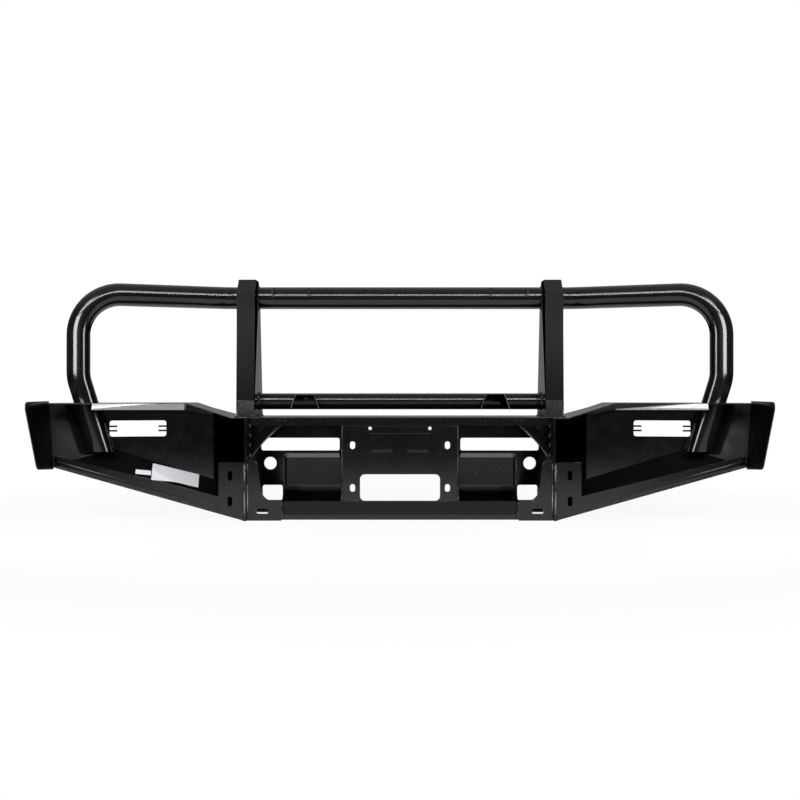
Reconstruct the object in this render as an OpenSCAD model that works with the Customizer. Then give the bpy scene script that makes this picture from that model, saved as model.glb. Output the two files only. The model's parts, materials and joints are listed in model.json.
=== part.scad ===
// Front grille guard: a winch bumper with a tubular hoop for the front of a truck.
// X is the width, Z is up, the guard faces -Y and the vehicle is on the +Y side.
// The origin is on the ground plane, under the middle of the winch plate's rear face.
// "left" is the vehicle's left side, which is +X.

/* [Hoop and cross tube] */
// Outside diameter of the hoop tube
hoop_od = 60.3; // [50:0.1:66]
// Wall of the hoop tube
hoop_wall = 3.2; // [2:0.1:6]
// How far the hoop's upper centre line lies below the uprights' tops
hoop_drop = 47; // [40:1:60]
// How far the hoop's upper run lies in front of the winch plate
hoop_front = 97; // [94:0.5:100]
// Distance from the middle to each leg of the hoop
leg_x = 842; // [835:1:850]
// Distance from the middle to the point where the hoop turns back
sweep_x = 474; // [468:1:500]
// Angle by which each end of the hoop sweeps back
hoop_sweep = 23.5; // [22.5:0.1:24]
// Centre line radius of the hoop's upper corners
corner_r = 110; // [95:1:130]
// Centre line radius of the hoop's small bends
bend_r = 110; // [95:1:130]
// Angle by which each leg leans in at its foot
leg_lean = 16.9; // [15:0.1:18]
// Height at which each leg starts to lean in
lean_z = 376; // [366:1:390]
// Height of the leg's lower end
leg_end_z = 182; // [178:1:200]
// Outside diameter of the cross tube
cross_od = 44.5; // [38:0.1:50]
// Wall of the cross tube
cross_wall = 2.9; // [2:0.1:5]
// Height of the cross tube's centre line
cross_z = 312; // [306:1:330]
// How far the cross tube lies in front of the winch plate
cross_front = 115; // [100:1:125]

/* [Uprights] */
// Distance from the middle to each upright's inner face
upright_in = 391; // [380:1:395]
// Width of each upright
upright_w = 48.5; // [40:0.5:52]
// Sheet thickness of the uprights
upright_t = 4; // [3:0.5:6]
// Overall height of the uprights
upright_top = 644; // [638:1:670]
// Size of the slanted face at the top of each upright
cap_chamfer = 36; // [30:1:42]
// Height at which each upright's foot turns back
foot_z = 316; // [310:1:330]
// How far the foot turns back
foot_kick = 11; // [6:1:16]

/* [Centre pan] */
// Half of the pan's width, to the outer faces of its side plates
pan_half = 407; // [404:1:412]
// Height of the pan's deck
pan_top = 271; // [268:1:276]
// Depth from the pan's front face to the winch plate's rear face
pan_depth = 199; // [190:1:205]
// Sheet thickness of the pan
pan_t = 4; // [3:0.5:5]
// Height of the lip at the back of the deck
rail_lip = 23; // [18:1:25]
// Height of the sloping sill at the bottom of the pan
sill_h = 46; // [42:1:47]

/* [Winch mounting] */
// Half of the winch plate's width
winch_half = 154; // [148:1:160]
// Thickness of the winch plate
winch_t = 6; // [4:0.5:8]
// Distance between the winch bolts across the plate
winch_bolt_x = 254; // [250:1:258]
// Distance between the winch bolts up the plate
winch_bolt_z = 114.3; // [110:0.1:118]
// Height of the middle of the winch bolt pattern
winch_bolt_mid = 138.6; // [136:0.1:142]
// Width of a winch bolt slot
winch_slot_w = 14; // [11:0.5:16]
// Length of a winch bolt slot
winch_slot_l = 21; // [18:0.5:24]
// Width of the rope opening
rope_w = 214; // [190:1:220]
// Height of the rope opening
rope_h = 71; // [60:1:72]
// Bottom of the rope opening
rope_z = 47; // [47:1:50]
// Corner radius of the rope opening
rope_r = 13; // [6:1:20]

/* [Chassis mounting] */
// How far the side plates reach behind the winch plate
chassis_y = 66; // [60:1:72]
// Thickness of the chassis plates
chassis_t = 6; // [5:0.5:8]
// Width of each chassis plate
chassis_w = 68; // [64:1:72]
// Height of the chassis plates
chassis_h = 154; // [148:1:160]
// Distance from the pan's side to the chassis bolts
chassis_bolt_out = 38; // [33:1:43]
// Height of the middle of the chassis bolt pattern
chassis_bolt_mid = 85.5; // [83:0.5:88]
// Distance between the chassis bolts
chassis_bolt_z = 67.7; // [60:0.1:72]
// Width of a chassis bolt slot
chassis_slot_w = 12; // [10:0.5:14]
// Length of a chassis bolt slot
chassis_slot_l = 26; // [20:0.5:30]

/* [Front openings] */
// Height of the long slot windows
slot_h = 36; // [30:1:40]
// Bottom of the long slot windows
slot_z = 171; // [168:1:174]
// Diameter of the jack holes
jack_d = 36; // [30:0.5:40]
// Distance from the pan's side to each jack hole
jack_in = 38; // [35:1:43]
// Height of the jack holes
jack_z = 135; // [130:1:140]
// Thickness of the jack plates
jack_t = 5; // [4:0.5:8]

/* [Wings] */
// Sheet thickness of the wings
wing_t = 3; // [2:0.5:4]
// Height of the wings' top face
wing_top_z = 310; // [305:1:316]
// Distance from the middle to the wings' inner corner
wing_in_x = 510; // [500:1:520]
// How far the wings' inner corner lies in front of the winch plate
wing_in_front = 60; // [54:1:66]
// Angle by which the wings' front face sweeps back
wing_sweep = 10.5; // [9:0.1:11]
// Distance from the middle to the top of the wings' corner fold
fold_top_x = 806; // [800:1:812]
// Distance from the middle to the bottom of the wings' corner fold
fold_low_x = 771; // [765:1:776]
// Distance from the middle to the wings' end faces
wing_end_x = 916; // [908:1:925]
// Where the wings' end faces start, behind the winch plate
wing_end_y = 80; // [78:1:90]
// Where the wings' end faces stop at the top
wing_back_y = 273; // [255:1:290]
// Angle by which the end faces lean in
end_lean = 5.5; // [4:0.5:7]
// Height of the wings' lower front edge at the corner fold
fold_low_z = 183; // [180:1:186]
// Height of the wings' lower front edge beside the pan
tray_in_z = 64; // [58:1:80]
// Height of the wings' underside at the end faces
tray_out_z = 143; // [140:1:150]
// Height of the tray's rear lip at its inner and outer ends
lip_in = 44; // [38:1:50]
lip_out = 30; // [26:1:36]
// Back edge of the wings' top face
shelf_y = 130; // [120:1:140]
// Size of the slanted lip behind the top face
shelf_lip = 17; // [12:1:20]
// Where the top face starts to slope down to the pan
slope_x = 550; // [540:1:560]
// Width of the wing lamp openings
lamp_w = 149; // [130:1:152]
// Height of the wing lamp openings
lamp_h = 43; // [36:1:46]

/* [Brackets] */
// Distance from the middle to the aerial brackets on the hoop
aerial_x = 296; // [280:1:310]
// Distance from the middle to the lamp brackets on the cross tube
bracket_x = 261; // [250:1:275]
// Diameter of the aerial cable holes
aerial_hole = 13; // [8:0.5:16]
// Diameter of the lamp bolt holes
bracket_hole = 11; // [8:0.5:13]
// Sheet thickness of the brackets
bracket_t = 4; // [3:0.5:5]

/* [Hidden] */
$fn = 64;

left = 1;
right = -1;
hoop_z = upright_top - hoop_drop;
chassis_bolt_x = pan_half + chassis_bolt_out;
jack_x = pan_half - jack_in;
big = 900; // reach of the cutting blocks
eps = 0.5; // how far a cutter passes through a face
weld_gap = 0.3; // clearance where a tube passes through a sheet

paint = "#2b2b2f";
label_white = "#dcdde1";

// --- helpers: vectors, planes and folded sheets ---

function unit(v) = v / norm(v);
function at_z(p, z) = [p[0], p[1], z];

// A plane is [outward normal, distance of the plane along it from the origin].
function plane(n, p) = [unit(n), unit(n) * p];
function plane_of(a, b, c) = plane(cross(b - a, c - a), a);
function inset(pl, t) = [pl[0], pl[1] - t];
function meet(p, q, r) =
    (p[1] * cross(q[0], r[0]) + q[1] * cross(r[0], p[0]) + r[1] * cross(p[0], q[0]))
        / (p[0] * cross(q[0], r[0]));

// The side of a plane that its normal points to, as a large block.
module beyond(pl) {
    n = pl[0];
    u = unit(cross(n, abs(n[2]) > 0.9 ? [1, 0, 0] : [0, 0, 1]));
    v = cross(n, u);
    o = n * pl[1];
    multmatrix([[u[0], v[0], n[0], o[0]], [u[1], v[1], n[1], o[1]], [u[2], v[2], n[2], o[2]]])
        translate([-big, -big, 0]) cube([2 * big, 2 * big, big]);
}

// A solid between two flat polygons with matching corners, whichever way they run.
module slab(a, b) {
    n = len(a);
    ahead = cross(a[1] - a[0], a[2] - a[0]) * (b[0] - a[0]) > 0;
    low = ahead ? a : b;
    high = ahead ? b : a;
    polyhedron(points = concat(low, high), faces = concat(
        [[for (i = [0:n - 1]) i]],
        [[for (i = [n - 1:-1:0]) n + i]],
        [for (i = [0:n - 1]) [i, n + i, n + (i + 1) % n, (i + 1) % n]]));
}

// A sheet on a plane: its outer and inner corners lie where the edge planes meet it.
module sheet(pl, t, edges) {
    n = len(edges);
    outer = [for (i = [0:n - 1]) meet(pl, edges[i], edges[(i + 1) % n])];
    inner = [for (i = [0:n - 1]) meet(inset(pl, t), edges[i], edges[(i + 1) % n])];
    slab(outer, inner);
}

// A folded strip: a polyline and its copy, a sheet thickness away on its left side.
function left_of(v) = unit([-v[1], v[0]]);
function fold_shift(p, i) =
    i == 0 ? left_of(p[1] - p[0])
    : i == len(p) - 1 ? left_of(p[i] - p[i - 1])
    : let (a = left_of(p[i] - p[i - 1]), b = left_of(p[i + 1] - p[i])) (a + b) / (1 + a * b);
function band(p, t) = concat(p, [for (i = [len(p) - 1:-1:0]) p[i] + t * fold_shift(p, i)]);

// Extrudes a Y-Z outline along X from x0 to x1.
module along_x(x0, x1) {
    translate([x0, 0, 0]) rotate([90, 0, 90]) linear_extrude(x1 - x0) children();
}

// Extrudes an X-Z outline along Y from y0 to y1.
module along_y(y0, y1) {
    translate([0, y1, 0]) rotate([90, 0, 0]) linear_extrude(y1 - y0) children();
}

// The points of a round corner at b between the edges from a and to c.
function corner(a, b, c, r) =
    let (u = unit(a - b), v = unit(c - b), half = acos(u * v) / 2,
        m = b + unit(u + v) * r / sin(half),
        s = atan2((b + u * r / tan(half) - m)[1], (b + u * r / tan(half) - m)[0]),
        e = atan2((b + v * r / tan(half) - m)[1], (b + v * r / tan(half) - m)[0]),
        turn = e - s > 180 ? e - s - 360 : e - s < -180 ? e - s + 360 : e - s)
    [for (k = [0:6]) m + r * [cos(s + turn * k / 6), sin(s + turn * k / 6)]];

// An upright rectangular opening with round corners, cut along Y.
module window(x0, x1, z0, z1, r, y0, y1) {
    along_y(y0, y1) {
        translate([x0 + r, z0]) square([x1 - x0 - 2 * r, z1 - z0]);
        translate([x0, z0 + r]) square([x1 - x0, z1 - z0 - 2 * r]);
        for (x = [x0 + r, x1 - r], z = [z0 + r, z1 - r]) translate([x, z]) circle(r);
    }
}

// A slot with round ends, cut along Y.
module slot(x0, x1, z0, z1, y0, y1) {
    r = min(x1 - x0, z1 - z0) / 2;
    flat = x1 - x0 > z1 - z0 ? [r, 0] : [0, r];
    along_y(y0, y1) {
        translate([x0, z0] + flat) square([x1 - x0, z1 - z0] - 2 * flat);
        for (p = [[x0 + r, z0 + r], [x1 - r, z1 - r]]) translate(p) circle(r);
    }
}

module bolt_slot(x, z, w, l, y0, y1) {
    slot(x - w / 2, x + w / 2, z - l / 2, z + l / 2, y0, y1);
}

// Places a left-hand piece on its side.
module on_side(side) {
    mirror([side == right ? 1 : 0, 0, 0]) children();
}

// --- hoop and cross tube ---

tube_sides = 36;

// A bend as a list of stations: centre, direction and an axis square to the direction.
// It starts at p along d and turns towards s. The axis is "flat", or level where that is undef.
function bend(p, d, s, r, angle, n, flat = undef) = [for (k = [0:n])
    let (t = angle * k / n, ahead = cos(t) * d + sin(t) * s)
    [p + r * (sin(t) * d + (1 - cos(t)) * s), ahead, is_undef(flat) ? cross([0, 0, 1], ahead) : flat]];

function ring(station, r) = [for (k = [0:tube_sides - 1])
    let (a = 360 * k / tube_sides, across = cross(station[1], station[2]))
    station[0] + r * (cos(a) * station[2] + sin(a) * across)];

// A tube through a list of stations.
module swept_tube(stations, d, wall) {
    n = tube_sides;
    last = len(stations) - 1;
    inner = (last + 1) * n; // index of the first point of the bore
    points = concat([for (s = stations) each ring(s, d / 2)],
        [for (s = stations) each ring(s, d / 2 - wall)]);
    skin = [for (i = [0:last - 1], k = [0:n - 1])
        [i * n + k, (i + 1) * n + k, (i + 1) * n + (k + 1) % n, i * n + (k + 1) % n]];
    polyhedron(points = points, faces = concat(skin,
        [for (f = skin) [inner + f[3], inner + f[2], inner + f[1], inner + f[0]]],
        [for (k = [0:n - 1]) [k, (k + 1) % n, inner + (k + 1) % n, inner + k]],
        [for (k = [0:n - 1]) [last * n + (k + 1) % n, last * n + k, inner + last * n + k,
            inner + last * n + (k + 1) % n]]));
}

hoop_joint_x = upright_in + upright_w / 2; // the hoop's three tubes meet inside the uprights
sweep_dir = [cos(hoop_sweep), sin(hoop_sweep), 0];
sweep_side = [-sin(hoop_sweep), cos(hoop_sweep), 0];
sweep_tangent = bend_r * tan(hoop_sweep / 2);
lean_tangent = bend_r * tan(leg_lean / 2);
down = [0, 0, -1];
leg_y = -hoop_front + (leg_x - sweep_x) * tan(hoop_sweep);
leg_foot = sweep_dir * -sin(leg_lean) + down * cos(leg_lean);
hoop_stations = concat(
    [[[hoop_joint_x, -hoop_front, hoop_z], [1, 0, 0], [0, 1, 0]]],
    bend([sweep_x - sweep_tangent, -hoop_front, hoop_z], [1, 0, 0], [0, 1, 0], bend_r, hoop_sweep, 4),
    bend([leg_x, leg_y, hoop_z] - corner_r * sweep_dir, sweep_dir, down, corner_r, 90, 12, sweep_side),
    bend([leg_x, leg_y, lean_z + lean_tangent], down, -sweep_dir, bend_r, leg_lean, 3, sweep_side),
    [[[leg_x, leg_y, lean_z] + leg_foot * (lean_z - leg_end_z + hoop_od), leg_foot, sweep_side]]);

module hoop_middle() {
    color(paint) translate([0, -hoop_front, hoop_z]) rotate([0, 90, 0]) difference() {
        cylinder(h = 2 * hoop_joint_x, d = hoop_od, center = true);
        cylinder(h = 2 * hoop_joint_x + 2 * eps, d = hoop_od - 2 * hoop_wall, center = true);
    }
}

module hoop_end(side) {
    color(paint) on_side(side) difference() {
        swept_tube(hoop_stations, hoop_od, hoop_wall);
        translate([0, -big, leg_end_z - big]) cube([2 * big, 2 * big, big]);
        beyond(inset(corner_pl, wing_t));
    }
}

module cross_tube() {
    color(paint) translate([0, -cross_front, cross_z]) rotate([0, 90, 0]) difference() {
        cylinder(h = 2 * upright_in, d = cross_od, center = true);
        cylinder(h = 2 * upright_in + 2 * eps, d = cross_od - 2 * cross_wall, center = true);
    }
}

// --- uprights ---

upright_back = 17; // how far the rear face lies in front of the winch plate
upright_nose = 197; // how far the foot reaches forward
upright_brow = 133; // how far the top reaches forward
brow_chamfer = 25;
upright_rear_line = [[foot_kick - upright_back, pan_top], [-upright_back, foot_z],
    [-upright_back, upright_top - cap_chamfer], [-upright_back - cap_chamfer, upright_top],
    [-upright_brow + brow_chamfer, upright_top]];
upright_front_line = [[-upright_brow + brow_chamfer, upright_top],
    [-upright_brow, upright_top - brow_chamfer], [-upright_nose, pan_top]];
upright_line = concat(upright_rear_line, [upright_front_line[1], upright_front_line[2]]);
upright_out = upright_in + upright_w;

module upright_strap(side) {
    color(paint) on_side(side) along_x(upright_in, upright_out)
        polygon(band(upright_rear_line, upright_t));
}

module upright_front(side) {
    color(paint) on_side(side) along_x(upright_in, upright_out)
        polygon(band(upright_front_line, upright_t));
}

// One of an upright's two side plates, between its straps.
module upright_plate(side, x0) {
    n = len(upright_line);
    color(paint) on_side(side) difference() {
        along_x(x0, x0 + upright_t)
            polygon([for (i = [0:n - 1]) upright_line[i] + upright_t * fold_shift(upright_line, i)]);
        translate([x0 - eps, -hoop_front, hoop_z]) rotate([0, 90, 0])
            cylinder(h = upright_t + 2 * eps, d = hoop_od + 2 * weld_gap);
    }
}

// --- brackets on the tubes ---

aerial_w = 103;
aerial_ear = 22; // height of the ears that sit on the hoop
aerial_reach = 30; // how far the plate reaches behind the hoop
aerial_z = hoop_z - 2; // underside of the plate

// A small tray with two ears, carried behind the hoop for an aerial.
module aerial_bracket(side) {
    color(paint) on_side(side) difference() {
        translate([aerial_x - aerial_w / 2, -hoop_front, aerial_z]) {
            cube([aerial_w, hoop_od / 2 + aerial_reach, bracket_t]);
            for (x = [0, aerial_w - bracket_t])
                translate([x, 0, bracket_t]) cube([bracket_t, hoop_od / 2 + aerial_reach, aerial_ear]);
        }
        translate([0, -hoop_front, hoop_z]) rotate([0, 90, 0])
            cylinder(h = big, d = hoop_od);
        translate([aerial_x, -hoop_front + hoop_od / 2 + aerial_reach / 2, aerial_z - eps])
            cylinder(h = bracket_t + 2 * eps, d = aerial_hole);
    }
}

lamp_top_w = 48;
lamp_spread = 13; // how far the bracket's legs splay out
lamp_drop = 38;
lamp_reach = 24; // how far the plate reaches behind the cross tube
lamp_plate_z = cross_z + 16; // underside of the plate

// A bent plate that straddles the back of the cross tube and carries a driving lamp.
module lamp_bracket(side) {
    z = lamp_plate_z;
    half = lamp_top_w / 2;
    line = [[-half - lamp_spread, z - lamp_drop], [-half, z], [half, z],
        [half + lamp_spread, z - lamp_drop]];
    color(paint) on_side(side) difference() {
        translate([bracket_x, 0, 0])
            along_y(-cross_front, -cross_front + cross_od / 2 + lamp_reach)
                polygon(band(line, bracket_t));
        translate([0, -cross_front, cross_z]) rotate([0, 90, 0]) cylinder(h = big, d = cross_od);
        translate([bracket_x, -cross_front + cross_od / 2 + lamp_reach / 2, z - eps])
            cylinder(h = bracket_t + 2 * eps, d = bracket_hole);
    }
}

// --- centre pan ---

front_y = -pan_depth; // outer face of the front panel
inside_y = front_y + pan_t; // its rear face
panel_half = pan_half - pan_t; // between the pan's side plates
deck_low = pan_top - pan_t;
winch_out = winch_half + pan_t; // outer face of the winch side plates
slot_end = pan_half - 12;
partition_x = pan_half - 91;
rope_mid = rope_z + rope_h / 2;
low_open = [pan_half - 73, pan_half - 16, 30, 73]; // x0, x1, z0, z1 of the lower openings
window_r = 6; // corner radius of the panel's openings
front_frame = [8, 25, 24]; // what the panel leaves beside, below and above its winch opening
front_turn = 45; // how far the panel's lower edge is folded back
slot_start = winch_out + 14;

module front_panel() {
    color(paint) difference() {
        along_x(-panel_half, panel_half) polygon([[front_y, 0], [inside_y + front_turn, 0],
            [inside_y + front_turn, pan_t], [inside_y, pan_t], [inside_y, deck_low],
            [front_y, deck_low]]);
        window(front_frame[0] - winch_half, winch_half - front_frame[0], front_frame[1],
            deck_low - front_frame[2], rope_r, front_y - eps, inside_y + eps);
        for (side = [left, right]) on_side(side) {
            window(slot_start, slot_end, slot_z, slot_z + slot_h, window_r,
                front_y - eps, inside_y + eps);
            window(low_open[0], low_open[1], low_open[2], low_open[3], window_r,
                front_y - eps, inside_y + eps);
            translate([jack_x, inside_y + eps, jack_z]) rotate([90, 0, 0])
                cylinder(h = pan_t + 2 * eps, d = jack_d);
        }
    }
}

module deck_rail() {
    color(paint) along_x(-panel_half, panel_half)
        polygon(band([[front_y, pan_top], [0, pan_top], [0, pan_top - rail_lip]], -pan_t));
}

// The sill runs across the pan's bottom: a slanted face above an upright flange.
sill_flange = 14;
sill_back = 32;
sill_front = 40; // the pan is open in front of the sill, so that the winch goes in from below

module bottom_sill() {
    color(paint) along_x(-partition_x + pan_t, partition_x - pan_t)
        polygon(band([[-sill_front, 0], [sill_back, 0], [sill_back, sill_flange], [0, sill_h]],
            pan_t));
}

small_hole_x = 80;
small_hole_z = 241;
small_hole_d = 9;

module winch_plate() {
    color(paint) difference() {
        translate([-winch_half, -winch_t, sill_h]) cube([2 * winch_half, winch_t, deck_low - sill_h]);
        translate([-winch_half - eps, -pan_t, pan_top - rail_lip])
            cube([2 * winch_half + 2 * eps, pan_t + eps, rail_lip]);
        for (x = [-1, 1], z = [-1, 1])
            bolt_slot(x * winch_bolt_x / 2, winch_bolt_mid + z * winch_bolt_z / 2,
                winch_slot_w, winch_slot_l, -winch_t - eps, eps);
        window(-rope_w / 2, rope_w / 2, rope_z, rope_z + rope_h, rope_r, -winch_t - eps, eps);
        for (x = [-small_hole_x, small_hole_x]) translate([x, eps, small_hole_z])
            rotate([90, 0, 0]) cylinder(h = winch_t + 2 * eps, d = small_hole_d);
    }
}

module winch_side_plate(side) {
    color(paint) on_side(side) translate([winch_half, inside_y, sill_h])
        cube([pan_t, pan_depth - pan_t, pan_top - rail_lip - sill_h]);
}

bay_back = 60; // how far the bay's panel lies in front of the winch plate
bay_low = 83;
bay_top = 160;
bay_foot = 12; // how far the bay's panel turns forward at its foot

// A folded channel that closes each bay beside the winch.
module bay_channel(side) {
    color(paint) on_side(side) along_x(winch_out, partition_x - pan_t)
        polygon(band([[inside_y, slot_z - pan_t], [-bay_back, bay_top], [-bay_back + pan_t, bay_low],
            [-bay_back - bay_foot, bay_low]], -pan_t));
}

module bay_partition(side) {
    back = 10 - bay_back; // the partition's rear edge beside the bay
    color(paint) on_side(side) along_x(partition_x - pan_t, partition_x)
        polygon([[inside_y, pan_t], [inside_y + front_turn, pan_t], [inside_y + front_turn, 0],
            [sill_back, 0], [sill_back, sill_flange], [0, sill_h], [back, bay_low],
            [back, slot_z - pan_t], [inside_y, slot_z - pan_t]]);
}

module jack_plate(side) {
    beside = 30; // how far the plate reaches past the hole
    below = 4; // and below it
    plate = [jack_x + beside - partition_x, jack_t, 50];
    color(paint) on_side(side) difference() {
        translate([partition_x, inside_y, jack_z - jack_d / 2 - below]) cube(plate);
        translate([jack_x, inside_y + jack_t + eps, jack_z]) rotate([90, 0, 0])
            cylinder(h = jack_t + 2 * eps, d = jack_d);
    }
}

brace_reach = 110; // how far the brace reaches along the deck and down the side plate
brace_sag = 8; // how far its free edge curves in towards the corner
brace_depth = 45;
rib_share = 0.55; // where its rib crosses the corner, as a share of the reach

// A knee brace between the deck and the pan's side plate: a web, a curved flange and a rib.
module corner_brace(side) {
    knee = [pan_half - pan_t, deck_low];
    start = knee - [0, brace_reach];
    edge = [for (k = [0:8]) let (f = k / 8)
        start + f * brace_reach * [-1, 1] + 4 * f * (1 - f) * brace_sag * unit([1, 1])];
    rib = [knee - [0, rib_share * brace_reach], knee - [rib_share * brace_reach, 0]];
    color(paint) on_side(side) {
        along_y(-pan_t - brace_depth, -pan_t) intersection() {
            translate(knee - [brace_reach, brace_reach]) square(brace_reach);
            polygon(band(edge, -pan_t));
        }
        along_y(-pan_t - brace_depth, -brace_depth) polygon(concat([knee], edge));
        along_y(-pan_t - brace_depth, -pan_t - brace_depth / 2) intersection() {
            translate(knee - [brace_reach, brace_reach]) square(brace_reach);
            polygon(band(rib, pan_t));
        }
    }
}

module pan_side_plate(side) {
    top = wing_shelf_z(pan_half) - wing_t;
    color(paint) on_side(side) along_x(pan_half - pan_t, pan_half)
        polygon([[front_y, 0], [chassis_y, 0], [chassis_y, top], [front_y, top]]);
}

// --- chassis mounting ---

chassis_rise = 25; // how much higher the plate's outer lower corner is
chassis_turn = 22; // depth of the plate's outer return

module chassis_plate(side) {
    x1 = pan_half + chassis_w;
    outline = [[pan_half, 0], [x1, chassis_rise], [x1, chassis_h], [pan_half, chassis_h]];
    color(paint) on_side(side) difference() {
        union() {
            along_y(chassis_y - chassis_t, chassis_y) polygon(outline);
            translate([x1 - chassis_t, chassis_y - chassis_turn, chassis_rise + lip_in])
                cube([chassis_t, chassis_turn, chassis_h - chassis_rise - lip_in]);
        }
        for (z = [-1, 1])
            bolt_slot(chassis_bolt_x, chassis_bolt_mid + z * chassis_bolt_z / 2,
                chassis_slot_w, chassis_slot_l, chassis_y - chassis_t - eps, chassis_y + eps);
    }
}

tow_arm = [27, 42]; // width of the tow plate's upright arm at its top and its foot
tow_foot = 52; // height of its foot
tow_r = [15, 30]; // radii of its top corner and of the hollow above its foot
tow_rise = 4; // how much higher the arm is than the chassis plate
tow_t = 8;
tow_y = 44;
tow_slot = [pan_half - 61, pan_half - 28, 18, 32]; // x0, x1, z0, z1 of the slot in its foot

// An L-shaped plate that ties the side plate, the partition and the sill together.
module tow_plate(side) {
    x1 = pan_half - pan_t;
    foot_x = partition_x - pan_t;
    top = [x1, chassis_h + tow_rise];
    shoulder = [x1 - tow_arm[0], top[1]];
    hollow = [x1 - tow_arm[1], tow_foot];
    color(paint) on_side(side) difference() {
        along_y(tow_y, tow_y + tow_t) polygon(concat([[foot_x, 0], [x1, 0], top],
            corner(top, shoulder, hollow, tow_r[0]),
            corner(shoulder, hollow, [foot_x, tow_foot], tow_r[1]), [[foot_x, tow_foot]]));
        slot(tow_slot[0], tow_slot[1], tow_slot[2], tow_slot[3], tow_y - eps, tow_y + tow_t + eps);
    }
}

// --- wings ---

side_x = [pan_half, front_y, 0];
inner_corner = [wing_in_x, -wing_in_front, 0];
function on_front(x, z) = [x, -wing_in_front + (x - wing_in_x) * tan(wing_sweep), z];

return_pl = plane([-front_y - wing_in_front, pan_half - wing_in_x, 0], side_x);
front_pl = plane([sin(wing_sweep), -cos(wing_sweep), 0], inner_corner);
fold_top = on_front(fold_top_x, wing_top_z);
fold_low = on_front(fold_low_x, fold_low_z);
end_top = [wing_end_x, wing_end_y, wing_top_z];
corner_pl = plane_of(fold_top, fold_low, end_top);
end_pl = plane([cos(end_lean), 0, -sin(end_lean)], end_top);
top_pl = plane([0, 0, 1], [0, 0, wing_top_z]);
pan_pl = plane([-1, 0, 0], side_x);

// Mitre planes hold the line where two faces meet and the line where their inner faces meet.
function mitre(p, q) = let (n = p[0] - q[0]) [n / norm(n), (p[1] - q[1]) / norm(n)];
return_mitre = mitre(return_pl, front_pl);
fold_mitre = mitre(front_pl, corner_pl);
end_mitre = mitre(corner_pl, end_pl);

tray_share = 0.28; // share of the tray's rise that lies along the return panel

// Inner corners of the tray's underside
tray_a = meet(inset(return_pl, wing_t), pan_pl, plane([0, 0, 1], [0, 0, tray_in_z]));
tray_b = meet(inset(front_pl, wing_t), inset(corner_pl, wing_t), plane([0, 0, 1], fold_low));
tray_c = meet(inset(corner_pl, wing_t), inset(end_pl, wing_t), plane([0, 0, 1], [0, 0, tray_out_z]));
tray_d = [pan_half, chassis_y - chassis_t, 0];
tray_e = meet(inset(return_pl, wing_t), inset(front_pl, wing_t),
    plane([0, 0, 1], [0, 0, tray_in_z + (fold_low_z - tray_in_z) * tray_share]));
return_low = plane_of(tray_a, tray_e, tray_a + [return_pl[0][0], return_pl[0][1], 0]);
front_low = plane_of(tray_e, tray_b, tray_e + front_pl[0]);
corner_low = plane_of(tray_b, tray_c, tray_b + [corner_pl[0][0], corner_pl[0][1], 0]);

tray_up = [0, 0, wing_t * 1.25]; // from the tray's underside to its upper face
label_t = 0.4;
label_large = [[40.5, 167.5], [-4, 61]]; // along the fold and across the tray
label_small = [[170, 211], [32.5, 46.5]];
label_turn = 6; // how far the labels are stuck on askew

function wing_shelf_z(x) = x >= slope_x ? wing_top_z
    : x <= upright_out ? pan_top
    : pan_top + (wing_top_z - pan_top) * (x - upright_out) / (slope_x - upright_out);
shelf_line = [[pan_half - pan_t, pan_top], [upright_out, pan_top], [slope_x, wing_top_z],
    [wing_end_x + wing_t, wing_top_z]];

// The room above the shelf, from which the wings' walls are cut away.
module above_shelf() {
    along_y(-big, big) polygon(concat(shelf_line,
        [[wing_end_x + wing_t, big], [pan_half - pan_t, big]]));
}

// The shelf's outline from above, inside the wing's front faces.
module shelf_outline() {
    in_ret = inset(return_pl, wing_t);
    in_front = inset(front_pl, wing_t);
    in_corner = inset(corner_pl, wing_t);
    in_end = inset(end_pl, wing_t);
    start = [pan_half - pan_t, front_y];
    under = inset(top_pl, wing_t); // the leaning faces are met at the shelf's underside
    a = meet(in_ret, in_front, under);
    b = meet(in_front, in_corner, under);
    c = meet(in_corner, in_end, under);
    pan_a = meet(in_ret, pan_pl, under);
    polygon([start, [pan_half, front_y], [pan_a[0], pan_a[1]], [a[0], a[1]], [b[0], b[1]], [c[0], c[1]],
        [c[0], shelf_y], [slope_x, shelf_y], [pan_half, chassis_y], [pan_half - pan_t, chassis_y]]);
}

module shelf_sheet() {
    along_y(-big, big) polygon(band(shelf_line, -wing_t));
}

tuck = 0.3; // how far a lip's root lies inside the sheet that it grows from
lip_slant = 0.38; // how far the shelf's lip leans back for each unit of its drop

// A length of the slanted lip between two places on the shelf's rear edge, which drops by d.
module shelf_lip_part(x0, x1, y0, y1, d0, d1) {
    t = wing_t * unit([1, lip_slant]);
    function at(x, y, d) = let (z = wing_shelf_z(x)) [[x, y - wing_t, z - tuck],
        [x, y - tuck, z - tuck], [x, y + lip_slant * d, z - d],
        [x, y + lip_slant * d - t[0], z - d - t[1]], [x, y - wing_t, z - wing_t / 2]];
    slab(at(x0, y0, d0), at(x1, y1, d1));
}

// The hole for the leaning leg: an oval prism a little larger than the leg's cut through the sheet.
module leg_hole() {
    o = [leg_x, leg_y, lean_z]
        + leg_foot * (lean_z - wing_top_z + wing_t / 2) / cos(leg_lean);
    r = hoop_od / 2 + weld_gap;
    long = r / cos(leg_lean) + wing_t / 2 * tan(leg_lean);
    linear_extrude(big) polygon([for (k = [0:tube_sides - 1])
        let (a = 360 * k / tube_sides, q = o + long * cos(a) * sweep_dir + r * sin(a) * sweep_side)
        [q[0], q[1]]]);
}

lip_start = 788; // where the slanted lip starts beside the end face
lip_stop = 484; // and where it stops beside the pan

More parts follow.
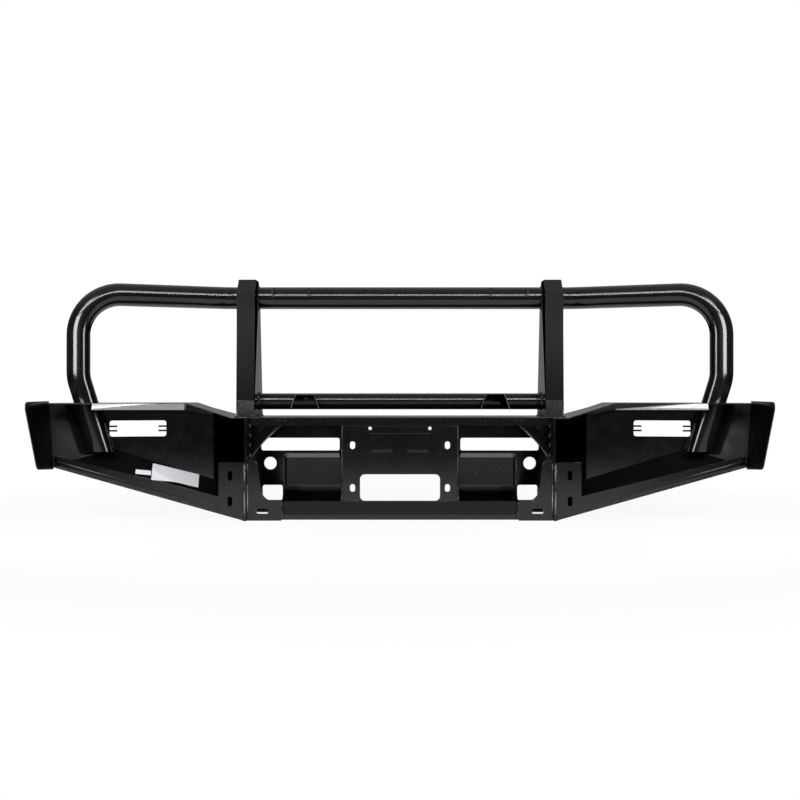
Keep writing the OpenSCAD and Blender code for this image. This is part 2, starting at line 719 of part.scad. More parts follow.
module wing_top(side) {
    stop_y = shelf_y - (slope_x - lip_stop) * (shelf_y - chassis_y) / (slope_x - pan_half);
    color(paint) on_side(side) difference() {
        union() {
            intersection() {
                shelf_sheet();
                linear_extrude(big) shelf_outline();
            }
            shelf_lip_part(slope_x, lip_start, shelf_y, shelf_y, shelf_lip, shelf_lip);
            shelf_lip_part(lip_stop, slope_x, stop_y, shelf_y, shelf_lip / 2, shelf_lip);
        }
        leg_hole();
    }
}

module wing_return(side) {
    color(paint) on_side(side) difference() {
        sheet(return_pl, wing_t, [pan_pl, top_pl, return_mitre, return_low]);
        above_shelf();
    }
}

lamp_x = 706;
lamp_z = 240;
lamp_r = 7; // corner radius of the lamp opening
lamp_cut = 20; // reach of its cutter to either side of the sheet

// The lamp opening, square to the wing's front face.
module lamp_opening(grow, y0, y1) {
    o = on_front(lamp_x, 0);
    translate(o) rotate([0, 0, wing_sweep])
        window(-lamp_w / 2 - grow, lamp_w / 2 + grow, lamp_z - lamp_h / 2 - grow,
            lamp_z + lamp_h / 2 + grow, lamp_r + grow, y0, y1);
}

module wing_front(side) {
    color(paint) on_side(side) difference() {
        sheet(front_pl, wing_t, [return_mitre, top_pl, fold_mitre, front_low]);
        lamp_opening(0, -lamp_cut, lamp_cut);
        above_shelf();
    }
}

module wing_corner(side) {
    color(paint) on_side(side) sheet(corner_pl, wing_t, [fold_mitre, top_pl, end_mitre, corner_low]);
}

end_rise = 5; // how far the end face stands above the shelf
end_slant = 49; // how much shorter its lower edge is
end_drop = 9; // how far it reaches below the tray
end_climb = 12; // how much its lower edge rises towards the back
end_reach = 40; // how far it is drawn forward before the fold cuts it off
end_r = 18; // radius of its rear corners

// The end face: an upright panel with round rear corners, leaning in at the bottom.
module wing_end(side) {
    drop = (wing_top_z - tray_out_z + end_drop) / cos(end_lean);
    shape = [[wing_end_y - end_reach, end_rise], [wing_back_y, end_rise],
        [wing_back_y - end_slant, end_climb - drop], [wing_end_y - end_reach, -drop]];
    color(paint) on_side(side) difference() {
        translate([wing_end_x, 0, wing_top_z]) rotate([0, end_lean, 0]) along_x(-wing_t, 0)
            polygon(concat([shape[0]], corner(shape[0], shape[1], shape[2], end_r),
                corner(shape[1], shape[2], shape[3], end_r), [shape[3]]));
        beyond(end_mitre);
    }
}

lip_short = 8; // how far the tray's lip stops short of the end face

// The tray under the wing: three flat parts and an upright lip along its back.
module wing_tray(side) {
    lip_x = [pan_half + chassis_w, tray_c[0] - lip_short];
    foot = [for (x = lip_x) tray_d + (x - tray_d[0]) / (tray_c[0] - tray_d[0]) * (tray_c - tray_d)
        + [0, -tuck, wing_t / 2]];
    rise = [[0, 0, lip_in], [0, 0, lip_out]];
    back = [0, -wing_t, 0];
    color(paint) on_side(side) union() {
        slab([tray_a, tray_e, tray_d], [tray_a + tray_up, tray_e + tray_up, tray_d + tray_up]);
        slab([tray_e, tray_b, tray_d], [tray_e + tray_up, tray_b + tray_up, tray_d + tray_up]);
        slab([tray_b, tray_c, tray_d], [tray_b + tray_up, tray_c + tray_up, tray_d + tray_up]);
        slab([foot[0], foot[1], foot[1] + back, foot[0] + back],
            [foot[0] + rise[0], foot[1] + rise[1], foot[1] + back + rise[1], foot[0] + back + rise[0]]);
    }
}

// A frame behind the lamp opening, with two pairs of clips.
module lamp_bezel(side) {
    rim = 7;
    bezel_t = 2;
    clip = [20, bezel_t, 3]; // size of each clip
    clip_z = 6; // height of the clips above and below the opening's middle
    color(paint) on_side(side) union() {
        difference() {
            lamp_opening(rim, wing_t, wing_t + bezel_t);
            lamp_opening(0, 0, lamp_cut);
            beyond(inset(corner_pl, wing_t + weld_gap));
        }
        translate(on_front(lamp_x, 0)) rotate([0, 0, wing_sweep])
            for (end = [-1, 1], z = [-clip_z, clip_z])
                translate([end * (lamp_w - clip[0]) / 2 - clip[0] / 2, wing_t, lamp_z + z - clip[2] / 2])
                    cube(clip);
    }
}

// A plain label on the left tray, which spans u along the fold and v across the tray.
module label(u, v) {
    along = unit(tray_b - tray_e);
    over = cross(unit(cross(tray_b - tray_e, tray_d - tray_e)), along);
    ahead = cos(label_turn) * along + sin(label_turn) * over;
    across = cos(label_turn) * over - sin(label_turn) * along;
    film = [0, 0, label_t];
    intersection() {
        linear_extrude(big) polygon([
            for (q = [[u[0], v[0]], [u[1], v[0]], [u[1], v[1]], [u[0], v[1]]])
                let (c = tray_e + q[0] * ahead + q[1] * across) [c[0], c[1]]]);
        for (corners = [[tray_e, tray_b, tray_d], [tray_b, tray_c, tray_d]])
            slab([for (c = corners) c + tray_up], [for (c = corners) c + tray_up + film]);
    }
}

module blank_labels() {
    color(label_white) {
        label(label_large[0], label_large[1]);
        label(label_small[0], label_small[1]);
    }
}

// --- the pieces ---

hoop_middle();
hoop_end(left);  // hoop_end_left
hoop_end(right);  // hoop_end_right
cross_tube();
upright_strap(left);  // upright_strap_left
upright_strap(right);  // upright_strap_right
upright_front(left);  // upright_front_left
upright_front(right);  // upright_front_right
upright_plate(left, upright_in);  // upright_inner_plate_left
upright_plate(right, upright_in);  // upright_inner_plate_right
upright_plate(left, upright_out - upright_t);  // upright_outer_plate_left
upright_plate(right, upright_out - upright_t);  // upright_outer_plate_right
aerial_bracket(left);  // aerial_bracket_left
aerial_bracket(right);  // aerial_bracket_right
lamp_bracket(left);  // lamp_bracket_left
lamp_bracket(right);  // lamp_bracket_right
front_panel();
deck_rail();
bottom_sill();
winch_plate();
winch_side_plate(left);  // winch_side_plate_left
winch_side_plate(right);  // winch_side_plate_right
bay_channel(left);  // bay_channel_left
bay_channel(right);  // bay_channel_right
bay_partition(left);  // bay_partition_left
bay_partition(right);  // bay_partition_right
jack_plate(left);  // jack_plate_left
jack_plate(right);  // jack_plate_right
corner_brace(left);  // corner_brace_left
corner_brace(right);  // corner_brace_right
pan_side_plate(left);  // pan_side_plate_left
pan_side_plate(right);  // pan_side_plate_right
chassis_plate(left);  // chassis_plate_left
chassis_plate(right);  // chassis_plate_right
tow_plate(left);  // tow_plate_left
tow_plate(right);  // tow_plate_right
wing_top(left);  // wing_top_left
wing_top(right);  // wing_top_right
wing_return(left);  // wing_return_left
wing_return(right);  // wing_return_right
wing_front(left);  // wing_front_left
wing_front(right);  // wing_front_right
wing_corner(left);  // wing_corner_left
wing_corner(right);  // wing_corner_right
wing_end(left);  // wing_end_left
wing_end(right);  // wing_end_right
wing_tray(left);  // wing_tray_left
wing_tray(right);  // wing_tray_right
lamp_bezel(left);  // lamp_bezel_left
lamp_bezel(right);  // lamp_bezel_right
blank_labels();
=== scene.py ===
"""Looks of the front grille guard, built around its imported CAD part.

Lengths are in millimetres until a mesh is made. X is the width, Z is up, the vehicle is on +Y.
Values that repeat the part's own dimensions keep the names that they have there.
"""
import json

import bmesh
import bpy
import numpy as np
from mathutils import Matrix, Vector

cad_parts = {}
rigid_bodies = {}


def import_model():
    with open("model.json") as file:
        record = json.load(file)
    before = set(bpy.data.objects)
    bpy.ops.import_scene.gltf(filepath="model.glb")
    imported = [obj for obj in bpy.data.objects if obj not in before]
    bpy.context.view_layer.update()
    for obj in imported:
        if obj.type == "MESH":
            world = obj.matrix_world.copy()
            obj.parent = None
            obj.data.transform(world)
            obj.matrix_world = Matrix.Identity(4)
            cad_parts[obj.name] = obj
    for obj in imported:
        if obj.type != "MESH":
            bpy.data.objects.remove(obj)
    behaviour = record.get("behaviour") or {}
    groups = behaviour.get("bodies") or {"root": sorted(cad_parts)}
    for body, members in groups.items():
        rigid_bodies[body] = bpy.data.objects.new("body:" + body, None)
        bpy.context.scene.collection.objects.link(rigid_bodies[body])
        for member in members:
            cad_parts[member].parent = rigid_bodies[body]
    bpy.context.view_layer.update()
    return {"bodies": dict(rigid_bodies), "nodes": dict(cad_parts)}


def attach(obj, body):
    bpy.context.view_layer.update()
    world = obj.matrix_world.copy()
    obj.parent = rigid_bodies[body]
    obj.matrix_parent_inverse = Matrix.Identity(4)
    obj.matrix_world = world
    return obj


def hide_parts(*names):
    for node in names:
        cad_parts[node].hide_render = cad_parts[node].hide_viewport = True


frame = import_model()
MM = 0.001
BODY = list(frame["bodies"])[0]
SIDES = (("left", 1), ("right", -1))


# --- node graphs -------------------------------------------------------------------------

class Wire:
    """An output socket that can be used in formulas."""

    def __init__(self, graph, socket):
        self.graph, self.socket = graph, socket

    def math(self, kind, *others):
        return self.graph.node("ShaderNodeMath", [self, *others], operation=kind)

    def __add__(self, o): return self.math("ADD", o)
    def __sub__(self, o): return self.math("SUBTRACT", o)
    def __mul__(self, o): return self.math("MULTIPLY", o)
    def __truediv__(self, o): return self.math("DIVIDE", o)
    def __rsub__(self, o): return self.graph.node("ShaderNodeMath", [o, self], operation="SUBTRACT")
    __radd__, __rmul__ = __add__, __mul__

    def between(self, low, high):
        """0 below low, 1 above high, smooth in between."""
        return self.graph.node("ShaderNodeMapRange", {"Value": self, "From Min": low, "From Max": high},
                               interpolation_type="SMOOTHSTEP")


class Graph:
    """The node tree of a material or a world."""

    def __init__(self, owner):
        self.owner = owner
        owner.use_nodes = True
        self.tree = owner.node_tree
        self.tree.nodes.clear()

    def node(self, kind, inputs=(), out=0, **props):
        n = self.tree.nodes.new(kind)
        for key, value in props.items():
            setattr(n, key, value)
        pairs = inputs.items() if isinstance(inputs, dict) else enumerate(inputs)
        for key, value in pairs:
            if isinstance(value, Wire):
                self.tree.links.new(value.socket, n.inputs[key])
            else:
                n.inputs[key].default_value = value
        return Wire(self, n.outputs[out])

    def noise(self, at, scale, detail=2.0, rough=0.5):
        return self.node("ShaderNodeTexNoise", {"Vector": at, "Scale": scale, "Detail": detail,
                                                "Roughness": rough})

    def mix(self, share, a, b):
        """A colour between a and b."""
        return self.node("ShaderNodeMix", {0: share, 6: a, 7: b}, out=2, data_type="RGBA")

    def finish(self, shader, kind="ShaderNodeOutputMaterial"):
        out = self.tree.nodes.new(kind)
        self.tree.links.new(shader.socket, out.inputs["Surface"])
        return self.owner


def powder_coat():
    """Black powder coat: satin, with a fine orange peel and a slightly uneven sheen."""
    g = Graph(bpy.data.materials.new("black_powder_coat"))
    at = g.node("ShaderNodeTexCoord", out="Object")
    peel = g.noise(at, 420, 2)
    grain = g.noise(at, 1900, 1)
    cloud = g.noise(at, 7, 3)
    smudge = g.noise(at, 31, 4, 0.6).between(0.42, 0.72)
    tone = g.mix(cloud, (0.0020, 0.0020, 0.0023, 1), (0.0034, 0.0034, 0.0038, 1))
    rough = 0.105 + 0.05 * cloud + 0.04 * smudge + 0.02 * grain
    bump = g.node("ShaderNodeBump", {"Height": peel * 0.7 + grain * 0.3, "Strength": 0.05,
                                     "Distance": 0.0006}, out="Normal")
    return g.finish(g.node("ShaderNodeBsdfPrincipled", {
        "Base Color": tone, "Roughness": rough, "Normal": bump, "Specular IOR Level": 0.5,
        "IOR": 1.5}))


def label_film():
    """Plain white film with a faint tooth and slightly grubby patches."""
    g = Graph(bpy.data.materials.new("label_film"))
    at = g.node("ShaderNodeTexCoord", out="Object")
    tooth = g.noise(at, 1500, 3)
    stain = g.noise(at, 45, 3).between(0.45, 0.85)
    tone = g.mix(stain * 0.5, (0.50, 0.51, 0.54, 1), (0.42, 0.43, 0.45, 1))
    bump = g.node("ShaderNodeBump", {"Height": tooth, "Strength": 0.1, "Distance": 0.0002},
                  out="Normal")
    return g.finish(g.node("ShaderNodeBsdfPrincipled", {
        "Base Color": tone, "Roughness": 0.42 + 0.1 * tooth, "Normal": bump}))


def floor_paper():
    """Pale studio floor. The camera and clean metal see it bright, and it sends less light itself."""
    g = Graph(bpy.data.materials.new("studio_floor"))
    at = g.node("ShaderNodeTexCoord", out="Object")
    grain = g.noise(at, 2.5, 3)
    camera = g.node("ShaderNodeLightPath", out="Is Camera Ray")
    glossy = g.node("ShaderNodeLightPath", out="Is Glossy Ray")
    through = g.node("ShaderNodeLightPath", out="Is Transmission Ray")
    reach = g.node("ShaderNodeVectorMath", [at], out="Value", operation="LENGTH")
    near, far = 1 - reach.between(1.3, 2.1), reach.between(0.9, 1.6)
    pale = g.mix(grain, (0.55, 0.55, 0.56, 1), (0.60, 0.60, 0.61, 1))
    tone = g.mix(far, pale, (0.008, 0.008, 0.008, 1))
    plain = g.node("ShaderNodeBsdfDiffuse", {"Color": tone})
    glow = g.node("ShaderNodeEmission", {"Color": (1, 1, 1, 1), "Strength": 1.0})
    share = camera * (FLOOR_GLOW + (1 - FLOOR_GLOW) * far) + glossy * near * 0.9 + through
    return g.finish(g.node("ShaderNodeMixShader", {0: share, 1: plain, 2: glow}))


FLOOR_GLOW = 0.93  # share of white in what the camera sees of the floor near the object
COAT, FILM, PAPER = powder_coat(), label_film(), floor_paper()


# --- meshes ------------------------------------------------------------------------------

EDGE_ANGLE = 13   # degrees from which an edge is softened
SHARP_ANGLE = 32  # degrees from which shading is broken


def add(name, bm, *nodes, material=COAT, slot="black_coat", bevel=0.0, sharp=SHARP_ANGLE):
    """Makes a piece from a bmesh in millimetres, which stands for the named CAD nodes."""
    mesh = bpy.data.meshes.new(name)
    bmesh.ops.scale(bm, vec=(MM, MM, MM), verts=bm.verts)
    bm.to_mesh(mesh)
    bm.free()
    obj = bpy.data.objects.new(name, mesh)
    bpy.context.scene.collection.objects.link(obj)
    mesh.materials.append(material)
    mesh.polygons.foreach_set("use_smooth", [True] * len(mesh.polygons))
    mesh.set_sharp_from_angle(angle=np.radians(sharp))
    if bevel:
        m = obj.modifiers.new("edges", "BEVEL")
        m.width, m.segments, m.limit_method = bevel * MM, 2, "ANGLE"
        m.angle_limit = np.radians(EDGE_ANGLE)
        w = obj.modifiers.new("normals", "WEIGHTED_NORMAL")
        w.keep_sharp, w.weight = True, 80
    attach(obj, BODY)
    if nodes:
        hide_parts(*nodes)
    return obj


def solid_of(node):
    """The CAD node's own mesh as a bmesh in millimetres, with its flat faces made whole."""
    bm = bmesh.new()
    bm.from_mesh(frame["nodes"][node].data)
    bmesh.ops.transform(bm, matrix=frame["nodes"][node].matrix_world, verts=bm.verts)
    bmesh.ops.scale(bm, vec=(1 / MM, 1 / MM, 1 / MM), verts=bm.verts)
    bmesh.ops.remove_doubles(bm, verts=bm.verts, dist=0.01)
    bmesh.ops.dissolve_limit(bm, angle_limit=np.radians(0.6), verts=bm.verts, edges=bm.edges)
    return bm


FOLD_ANGLE, FOLD_WIDTH = 12, 2.4  # degrees, and how many thicknesses wide a folded face is


def round_folds(bm, t, inner=3.0):
    """Gives each fold between two broad faces its bend: inner on the hollow side, inner + t outside."""
    for _ in range(16):
        bm.normal_update()
        groups = {}
        for e in bm.edges:
            if len(e.link_faces) != 2 or e.calc_length() < 15:
                continue
            turn, length = e.calc_face_angle_signed(), e.calc_length()
            broad = all(f.calc_area() / length > FOLD_WIDTH * t for f in e.link_faces)
            if abs(turn) > np.radians(FOLD_ANGLE) and broad:
                groups.setdefault((round(abs(turn), 1), turn > 0), []).append(e)
        if not groups:
            return
        (turn, convex), edges = max(groups.items(), key=lambda g: len(g[1]))
        r = inner + t if convex else inner
        # the tangent length of an arc of radius r is r times the tangent of half the turn
        bmesh.ops.bevel(bm, geom=edges, offset=r * np.tan(turn / 2), offset_type="OFFSET",
                        segments=int(np.ceil(np.degrees(turn) / 8)), profile=0.5, affect="EDGES",
                        clamp_overlap=True)


def fused(*nodes):
    """One solid from several CAD nodes that meet along their folds."""
    made = []
    for node in nodes:
        bm, mesh = solid_of(node), bpy.data.meshes.new("part_of_it")
        bm.to_mesh(mesh)
        bm.free()
        made.append(bpy.data.objects.new("part_of_it", mesh))
        bpy.context.scene.collection.objects.link(made[-1])
    for other in made[1:]:
        m = made[0].modifiers.new("join", "BOOLEAN")
        m.operation, m.solver, m.object = "UNION", "EXACT", other
    bm = bmesh.new()
    bm.from_object(made[0], bpy.context.evaluated_depsgraph_get())
    for o in made:
        bpy.data.objects.remove(o)
    bmesh.ops.remove_doubles(bm, verts=bm.verts, dist=0.02)
    bmesh.ops.dissolve_limit(bm, angle_limit=np.radians(0.6), verts=bm.verts, edges=bm.edges)
    return bm


def dress(node, t=0.0, bevel=1.3, inner=3.0, **kw):
    """A CAD node with bends in its sheet of thickness t and soft edges."""
    bm = solid_of(node)
    if t:
        round_folds(bm, t, inner)
    return add("seen_" + node, bm, node, bevel=bevel, **kw)


def grid(rows, cols):
    """Quads of a grid of points: each row joined to the next one, and its last column to its first."""
    i, k = np.meshgrid(np.arange(rows - 1), np.arange(cols), indexing="ij")
    n = (k + 1) % cols
    here, after = i * cols, (i + 1) * cols
    return np.stack([here + k, here + n, after + n, after + k], -1).reshape(-1, 4)


def capped(points):
    """A closed skin over rows of points that go round a piece, with a flat cap on both ends."""
    rows, cols = points.shape[:2]
    caps = [list(range(cols)), list(range((rows - 1) * cols, rows * cols))]
    return points.reshape(-1, 3), grid(rows, cols).tolist() + caps


def skin(*parts, mirror=False):
    """A bmesh from pairs of points and faces, turned so that every face points outwards."""
    mesh = bpy.data.meshes.new("skin")
    start, points, faces = 0, [], []
    for v, f in parts:
        points.append(v)
        faces += [[start + k for k in face] for face in f]
        start += len(v)
    points = np.concatenate(points) * (-1 if mirror else 1, 1, 1)
    mesh.from_pydata(points.tolist(), [], faces)
    bm = bmesh.new()
    bm.from_mesh(mesh)
    bpy.data.meshes.remove(mesh)
    bmesh.ops.recalc_face_normals(bm, faces=bm.faces)
    return bm


# --- the hoop ----------------------------------------------------------------------------

hoop_od, hoop_wall, hoop_z, hoop_front = 60.3, 3.2, 597, 97
leg_x, sweep_x, hoop_sweep, corner_r, bend_r = 842, 474, 23.5, 110, 110
leg_lean, lean_z, leg_end_z = 16.9, 376, 182
wing_t = 3


def unit(v):
    return np.asarray(v, float) / np.linalg.norm(v)


def bend(p, d, s, r, angle, n):
    """Stations on an arc that starts at p along d and turns towards s: places and directions."""
    t = np.linspace(0, np.radians(angle), n)[:, None]
    return p + r * (np.sin(t) * d + (1 - np.cos(t)) * s), np.cos(t) * d + np.sin(t) * s


def hoop():
    """One tube: a circle carried along a path of straights and arcs, outside and then back inside.

    The path is worked out on the left and mirrored. Each circle's first axis is the last one's,
    made square to the path again, so that the rings don't twist.
    """
    sweep = np.radians(hoop_sweep)
    out = np.array([np.cos(sweep), np.sin(sweep), 0])
    ahead, back, down = np.eye(3)[0], np.eye(3)[1], -np.eye(3)[2]
    leg_y = -hoop_front + (leg_x - sweep_x) * np.tan(sweep)
    parts = [bend(np.array([sweep_x - bend_r * np.tan(sweep / 2), -hoop_front, hoop_z]), ahead,
                  back, bend_r, hoop_sweep, 9),
             bend(np.array([leg_x, leg_y, hoop_z]) - corner_r * out, out, down, corner_r, 90, 29),
             bend(np.array([leg_x, leg_y, lean_z + bend_r * np.tan(np.radians(leg_lean / 2))]),
                  down, -out, bend_r, leg_lean, 8)]
    p = np.vstack([q[0] for q in parts])
    d = np.vstack([q[1] for q in parts])
    foot = unit(d[-1])
    base = np.array([leg_x, leg_y, lean_z])
    end = base + foot * (lean_z - leg_end_z) / -foot[2]
    p, d = np.vstack([p, end]), np.vstack([d, foot])
    mirror = np.array([-1, 1, 1])
    p = np.vstack([(p * mirror)[::-1], p])
    d = np.vstack([(d * np.array([1, -1, -1]))[::-1], d])
    a = np.linspace(0, 2 * np.pi, 64, endpoint=False)[:, None]
    start = len(p) // 2
    axes = np.zeros_like(p)
    for order in (range(start, len(p)), range(start - 1, -1, -1)):
        u = np.array([0.0, 1.0, 0.0])
        for i in order:
            u = unit(u - d[i] * (u @ d[i]))
            axes[i] = u
    around_path = np.cos(a) * axes[:, None] + np.sin(a) * np.cross(d, axes)[:, None]
    outer, inner = (p[:, None] + r * around_path for r in (hoop_od / 2, hoop_od / 2 - hoop_wall))
    for ring in (outer, inner):  # both ends are slid along the leg until they are cut level
        for i, turned in ((0, mirror), (-1, 1)):
            t = (leg_end_z - ring[i][:, 2]) / foot[2]
            ring[i] += t[:, None] * foot * turned
    loop = np.concatenate([inner[:3][::-1], outer, inner[-3:][::-1]])
    add("hoop_tube", skin(capped(loop)), "hoop_middle", "hoop_end_left", "hoop_end_right")


hoop()

SHEETS = {"upright_strap": 4, "upright_front": 4, "aerial_bracket": 4, "lamp_bracket": 4,
          "front_panel": 4, "deck_rail": 4, "bottom_sill": 4, "bay_channel": 4}
SHELL = ("wing_top", "wing_return", "wing_front", "wing_corner")
OWN = ("hoop_", "cross_tube", "blank_labels") + SHELL
TRAY_SHARP = 4  # a tray is a fan of flat planes

for node in frame["nodes"]:
    kind = node.replace("_left", "").replace("_right", "")
    if not node.startswith(OWN):
        dress(node, SHEETS.get(kind, 0), sharp=TRAY_SHARP if kind == "wing_tray" else SHARP_ANGLE)
dress("blank_labels", bevel=0.0, material=FILM, slot="label_plain")

for name, side in SIDES:
    nodes = [f"{part}_{name}" for part in SHELL]
    bm = fused(*nodes)
    round_folds(bm, wing_t, 4.0)
    add(f"wing_shell_{name}", bm, *nodes, bevel=1.2)


# --- welds, clips and fixings ------------------------------------------------------------

def bead(path, r=3.2, closed=False, pitch=3.4):
    """A weld bead: a ring of 8 points carried along a path, its radius r times one plus a small
    sine that repeats every pitch, and drawn in at open ends."""
    p = np.asarray(path, float)
    if closed:
        p = np.vstack([p, p[:1]])
    at = np.concatenate([[0], np.cumsum(np.linalg.norm(np.diff(p, axis=0), axis=1))])
    n = max(6, int(at[-1] / pitch * 3))
    s = np.linspace(0, at[-1], n)
    q = np.stack([np.interp(s, at, p[:, k]) for k in range(3)], axis=1)
    d = np.gradient(q, axis=0)
    d /= np.linalg.norm(d, axis=1)[:, None]
    u = np.cross(d, (0.31, 0.52, 0.79))
    u /= np.linalg.norm(u, axis=1)[:, None]
    v = np.cross(d, u)
    ripple = 1 + 0.13 * np.sin(2 * np.pi * s / pitch) + 0.06 * np.sin(s * 0.37 + p[0, 0])
    ends = np.ones(n) if closed else np.clip(np.minimum(s, at[-1] - s) / r, 0.05, 1) ** 0.5
    a = np.linspace(0, 2 * np.pi, 8, endpoint=False)[None, :, None]
    out = np.cos(a) * u[:, None] + np.sin(a) * v[:, None]
    return capped(q[:, None] + (r * ripple * ends)[:, None, None] * out)


def around(centre, r, n=40):
    """Points on a circle about an X axis."""
    a = np.linspace(0, 2 * np.pi, n, endpoint=False)
    return np.stack([0 * a, r * np.cos(a), r * np.sin(a)], 1) + centre


def stitches(a, b, count, share=0.55, r=3.0):
    """Short beads spaced along the line from a to b."""
    a, b = np.asarray(a, float), np.asarray(b, float)
    spans = [[(k + (1 - share) / 2) / count, (k + (1 + share) / 2) / count] for k in range(count)]
    return [bead([a + (b - a) * start, a + (b - a) * stop], r) for start, stop in spans]


def bar(a, b, out, w, h, r=0.8):
    """A bar from a to b: an oblong of w by h (h along out) with corners of radius r, carried along
    the line and drawn in by r at both ends."""
    a, b = np.asarray(a, float), np.asarray(b, float)
    d = unit(b - a)
    o = unit(out - d * np.dot(out, d))
    side = np.cross(d, o)
    t = np.linspace(0, 2 * np.pi, 32, endpoint=False) + np.pi / 32
    quarter = np.linspace(0, np.pi / 2, 4)
    drawn = np.concatenate([1 - np.sin(quarter), (1 - np.sin(quarter))[::-1]])[:, None] * r
    near = (1 - np.cos(quarter)) * r
    s = np.concatenate([near, np.linalg.norm(b - a) - near[::-1]])
    x = np.sign(np.cos(t)) * (w / 2 - r) + (r * np.cos(t)) - np.sign(np.cos(t)) * drawn
    y = np.sign(np.sin(t)) * (h / 2 - r) + (r * np.sin(t)) - np.sign(np.sin(t)) * drawn
    return capped(a + s[:, None, None] * d + x[:, :, None] * side + y[:, :, None] * o)


def dome(centre, out, r, h):
    """A round head: rings whose radius falls from r to nothing as the height goes to h."""
    o = unit(out)
    u = unit(np.cross(o, (0.3, 0.2, 0.9)))
    v = np.cross(o, u)
    e = np.linspace(0, 0.97, 7)[:, None, None] * np.pi / 2
    a = np.linspace(0, 2 * np.pi, 24, endpoint=False)[None, :, None]
    out = np.cos(a) * u + np.sin(a) * v
    return capped(np.asarray(centre, float) + r * np.cos(e) * out + h * np.sin(e) * o)


upright_in, upright_out, pan_half, pan_top, chassis_y, chassis_h = 391, 439.5, 407, 271, 66, 154
cross_od, cross_z, cross_front, winch_half, sill_h, rail_lip = 44.5, 312, 115, 154, 46, 23
up = np.array([0, 0, 1.0])
wing_face = unit((261.4, 48.5, 0))  # along the wing's front panel
wing_ahead = np.array([wing_face[1], -wing_face[0], 0])
lip_in, lip_out = np.array([477.0, 64.9, 23.8]), np.array([887.0, 95.1, 144.2])  # tray lip's foot
hem_rise = 8.5
lamp_mid = np.array([706.0, -20.6, 240.0])

for name, side in SIDES:
    right = side < 0
    welds = [
        bead(around((upright_in - 0.5, -hoop_front, hoop_z), hoop_od / 2 + 1), 3.0, True),
        bead(around((upright_out + 0.5, -hoop_front, hoop_z), hoop_od / 2 + 1), 3.0, True),
        bead(around((upright_in - 0.5, -cross_front, cross_z), cross_od / 2 + 1), 2.6, True),
        bead([(upright_in, -5.5, pan_top + 1), (upright_out, -5.5, pan_top + 1)], 2.6),
        bead([(upright_out + 1, -8, pan_top + 1.5), (upright_out + 1, -140, pan_top + 1.5)], 2.6),
        bead([(upright_in - 1, -8, pan_top + 1), (upright_in - 1, -190, pan_top + 1)], 2.6),
        bead([(pan_half + 1, chassis_y, 4), (pan_half + 1, chassis_y, chassis_h - 3)], 3.0),
        bead([(pan_half - 5, 53, 4), (pan_half - 5, 53, chassis_h)], 3.0),
        bead([(winch_half + 1, -0.5, sill_h + 4), (winch_half + 1, -0.5, pan_top - rail_lip - 2)],
             2.4),
        bead([(312, 45, 48), (312, 45, 6)], 2.4),
        bead([(316.5, -50, 86), (316.5, -50, 160)], 2.2),
        bead([(227, 0, 260), (232, 0, 259)], 4.0),
        *stitches((pan_half - 5, -3, 158), (pan_half - 5, -3, 262), 4, 0.55, 3.2),
        *stitches((300, -1, 262), (334, -1, 262), 2, 0.6, 3.0),
        *stitches((165, 33, 14), (310, 33, 14), 3, 0.3, 2.4)]
    add(f"weld_beads_{name}", skin(*welds, mirror=right))
    hem = bar(lip_in + hem_rise * up, lip_out + hem_rise * up, (0, 1, 0), 13, 2.6, 1.2)
    add(f"tray_hem_{name}", skin(hem, mirror=right))
    clips = [bar(lamp_mid + end * 80 * wing_face + z * up + wing_ahead * 4,
                 lamp_mid + end * 54 * wing_face + z * up + wing_ahead * 4, wing_ahead, 4.6, 4.0, 1.0)
             for end in (-1, 1) for z in (-6, 6)]
    add(f"lamp_clips_{name}", skin(*clips, mirror=right))

raised = [bar((s * 20, 0.2, 180), (s * 76, 0.2, 180), (0, 1, 0), 8, 2.4, 1.1) for s in (-1, 1)]
raised.append(bar((-80, 0, 227), (80, 0, 227), (0, 1, 0), 1.8, 1.6, 0.6))
add("winch_plate_ribs", skin(*raised))
rivets = [dome((x, -60, z), (0, 1, 0), 4.2, 3.2) for x, z in ((-206.8, 114.3), (-274.5, 132.6))]
add("bay_rivets", skin(*rivets))


# --- cross tube --------------------------------------------------------------------------

def cross_tube():
    """A straight tube: circles about the X axis at stations along it, outside and back inside."""
    stops = np.linspace(-upright_in + 0.8, upright_in - 0.8, 9)
    xs = np.concatenate([[-upright_in], stops, [upright_in]])
    a = np.linspace(0, 2 * np.pi, 64, endpoint=False)
    r = np.where(np.abs(xs) > upright_in - 0.5, cross_od / 2 - 0.6, cross_od / 2)[:, None]
    r = np.concatenate([r[:2] * 0 + cross_od / 2 - 2.9, r, r[-2:] * 0 + cross_od / 2 - 2.9])
    xs = np.concatenate([xs[:2][::-1], xs, xs[-2:][::-1]])[:, None]
    tube = np.stack([xs + 0 * a, -cross_front + r * np.cos(a), cross_z + r * np.sin(a)], 2)
    add("cross_bar", skin(capped(tube)), "cross_tube")


cross_tube()


# --- studio ------------------------------------------------------------------------------

def softbox(name, place, aim, size, power):
    """A rectangular lamp, size in metres, at a place and turned towards aim."""
    lamp = bpy.data.lights.new(name, "AREA")
    lamp.shape, lamp.size, lamp.size_y, lamp.energy = "RECTANGLE", *size, power
    obj = bpy.data.objects.new(name, lamp)
    obj.location = place
    obj.rotation_euler = (Vector(aim) - Vector(place)).to_track_quat("-Z", "Y").to_euler()
    bpy.context.scene.collection.objects.link(obj)


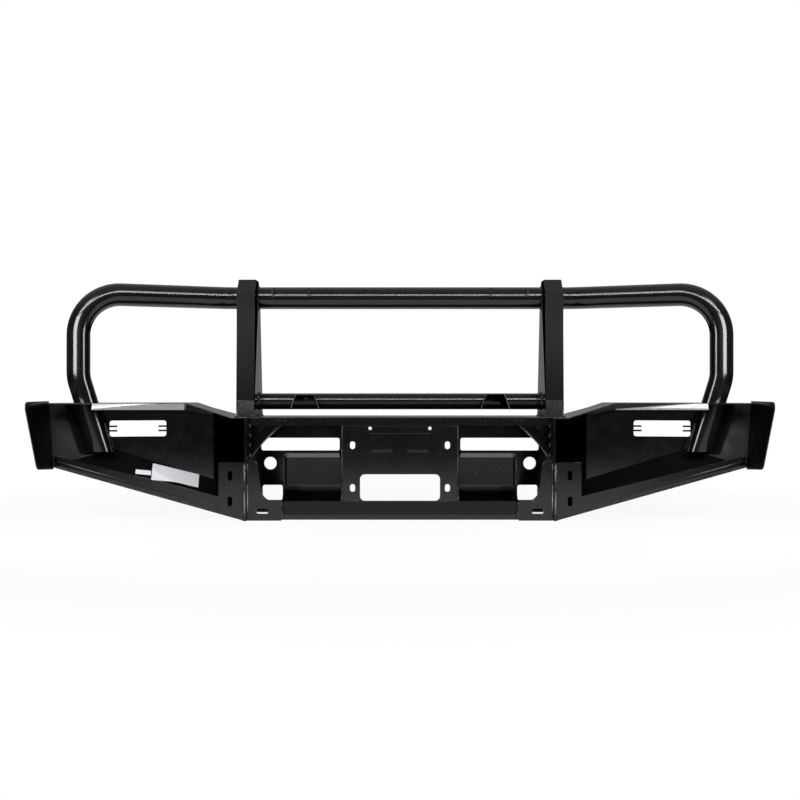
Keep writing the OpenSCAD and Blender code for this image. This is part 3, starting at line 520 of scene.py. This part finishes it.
softbox("strip_above", (0, 2.9, 2.25), (0, -0.1, 0.5), (4.2, 0.20), 84)
for name, side in SIDES:
    softbox("side_" + name, (side * 1.03, 0.76, 0.6), (side * 0.45, 0, 0.56), (0.42, 0.48), 10.5)
    softbox("high_" + name, (side * 1.2, 2.6, 2.67), (side * 0.65, 0.13, 0.3), (1.0, 0.5), 13)

bm = bmesh.new()
bmesh.ops.create_grid(bm, x_segments=1, y_segments=1, size=14)
ground = bpy.data.meshes.new("ground")
bm.to_mesh(ground)
bm.free()
floor = bpy.data.objects.new("ground", ground)
bpy.context.scene.collection.objects.link(floor)
ground.materials.append(PAPER)

ROOM_SHARE = 0.04  # how much of the white room clean metal shows
world = bpy.data.worlds.new("room")
bpy.context.scene.world = world
room = Graph(world)
way = room.node("ShaderNodeTexCoord", out="Generated")
x, y, z = (room.node("ShaderNodeSeparateXYZ", [way], out=k) for k in "XYZ")
behind = y.between(0.84, 0.96)
ahead = 1 - y.between(-0.97, -0.5)
wall = z.between(0.0, 0.05) * (1 - z.between(0.05, 0.13)) * behind
above = z.between(0.5, 0.95) * 0.35 + (1 - y.between(-0.7, 0.1)) * z.between(0.2, 0.6) * 0.3
glow = 0.03 + wall * 0.95 + above + ahead * 0.2
sky = room.node("ShaderNodeBackground", {"Color": (0.97, 0.98, 1, 1), "Strength": glow})
white = room.node("ShaderNodeBackground", {"Color": (1, 1, 1, 1), "Strength": 1.0})
camera_ray = room.node("ShaderNodeLightPath", out="Is Camera Ray")
glossy_ray = room.node("ShaderNodeLightPath", out="Is Glossy Ray")
through_ray = room.node("ShaderNodeLightPath", out="Is Transmission Ray")
share = camera_ray + glossy_ray * ROOM_SHARE + through_ray
both = room.node("ShaderNodeMixShader", {0: share, 1: sky, 2: white})
room.finish(both, "ShaderNodeOutputWorld")

camera = bpy.data.objects.new("camera", bpy.data.cameras.new("camera"))
camera.data.lens, camera.data.sensor_width = 50.4, 36
camera.data.shift_y = -0.015
camera.location = (0, 2.996, 0.349)
camera.rotation_euler = (np.pi / 2, 0, np.pi)
bpy.context.scene.collection.objects.link(camera)
bpy.context.scene.camera = camera
bpy.context.scene.view_settings.view_transform = "Standard"
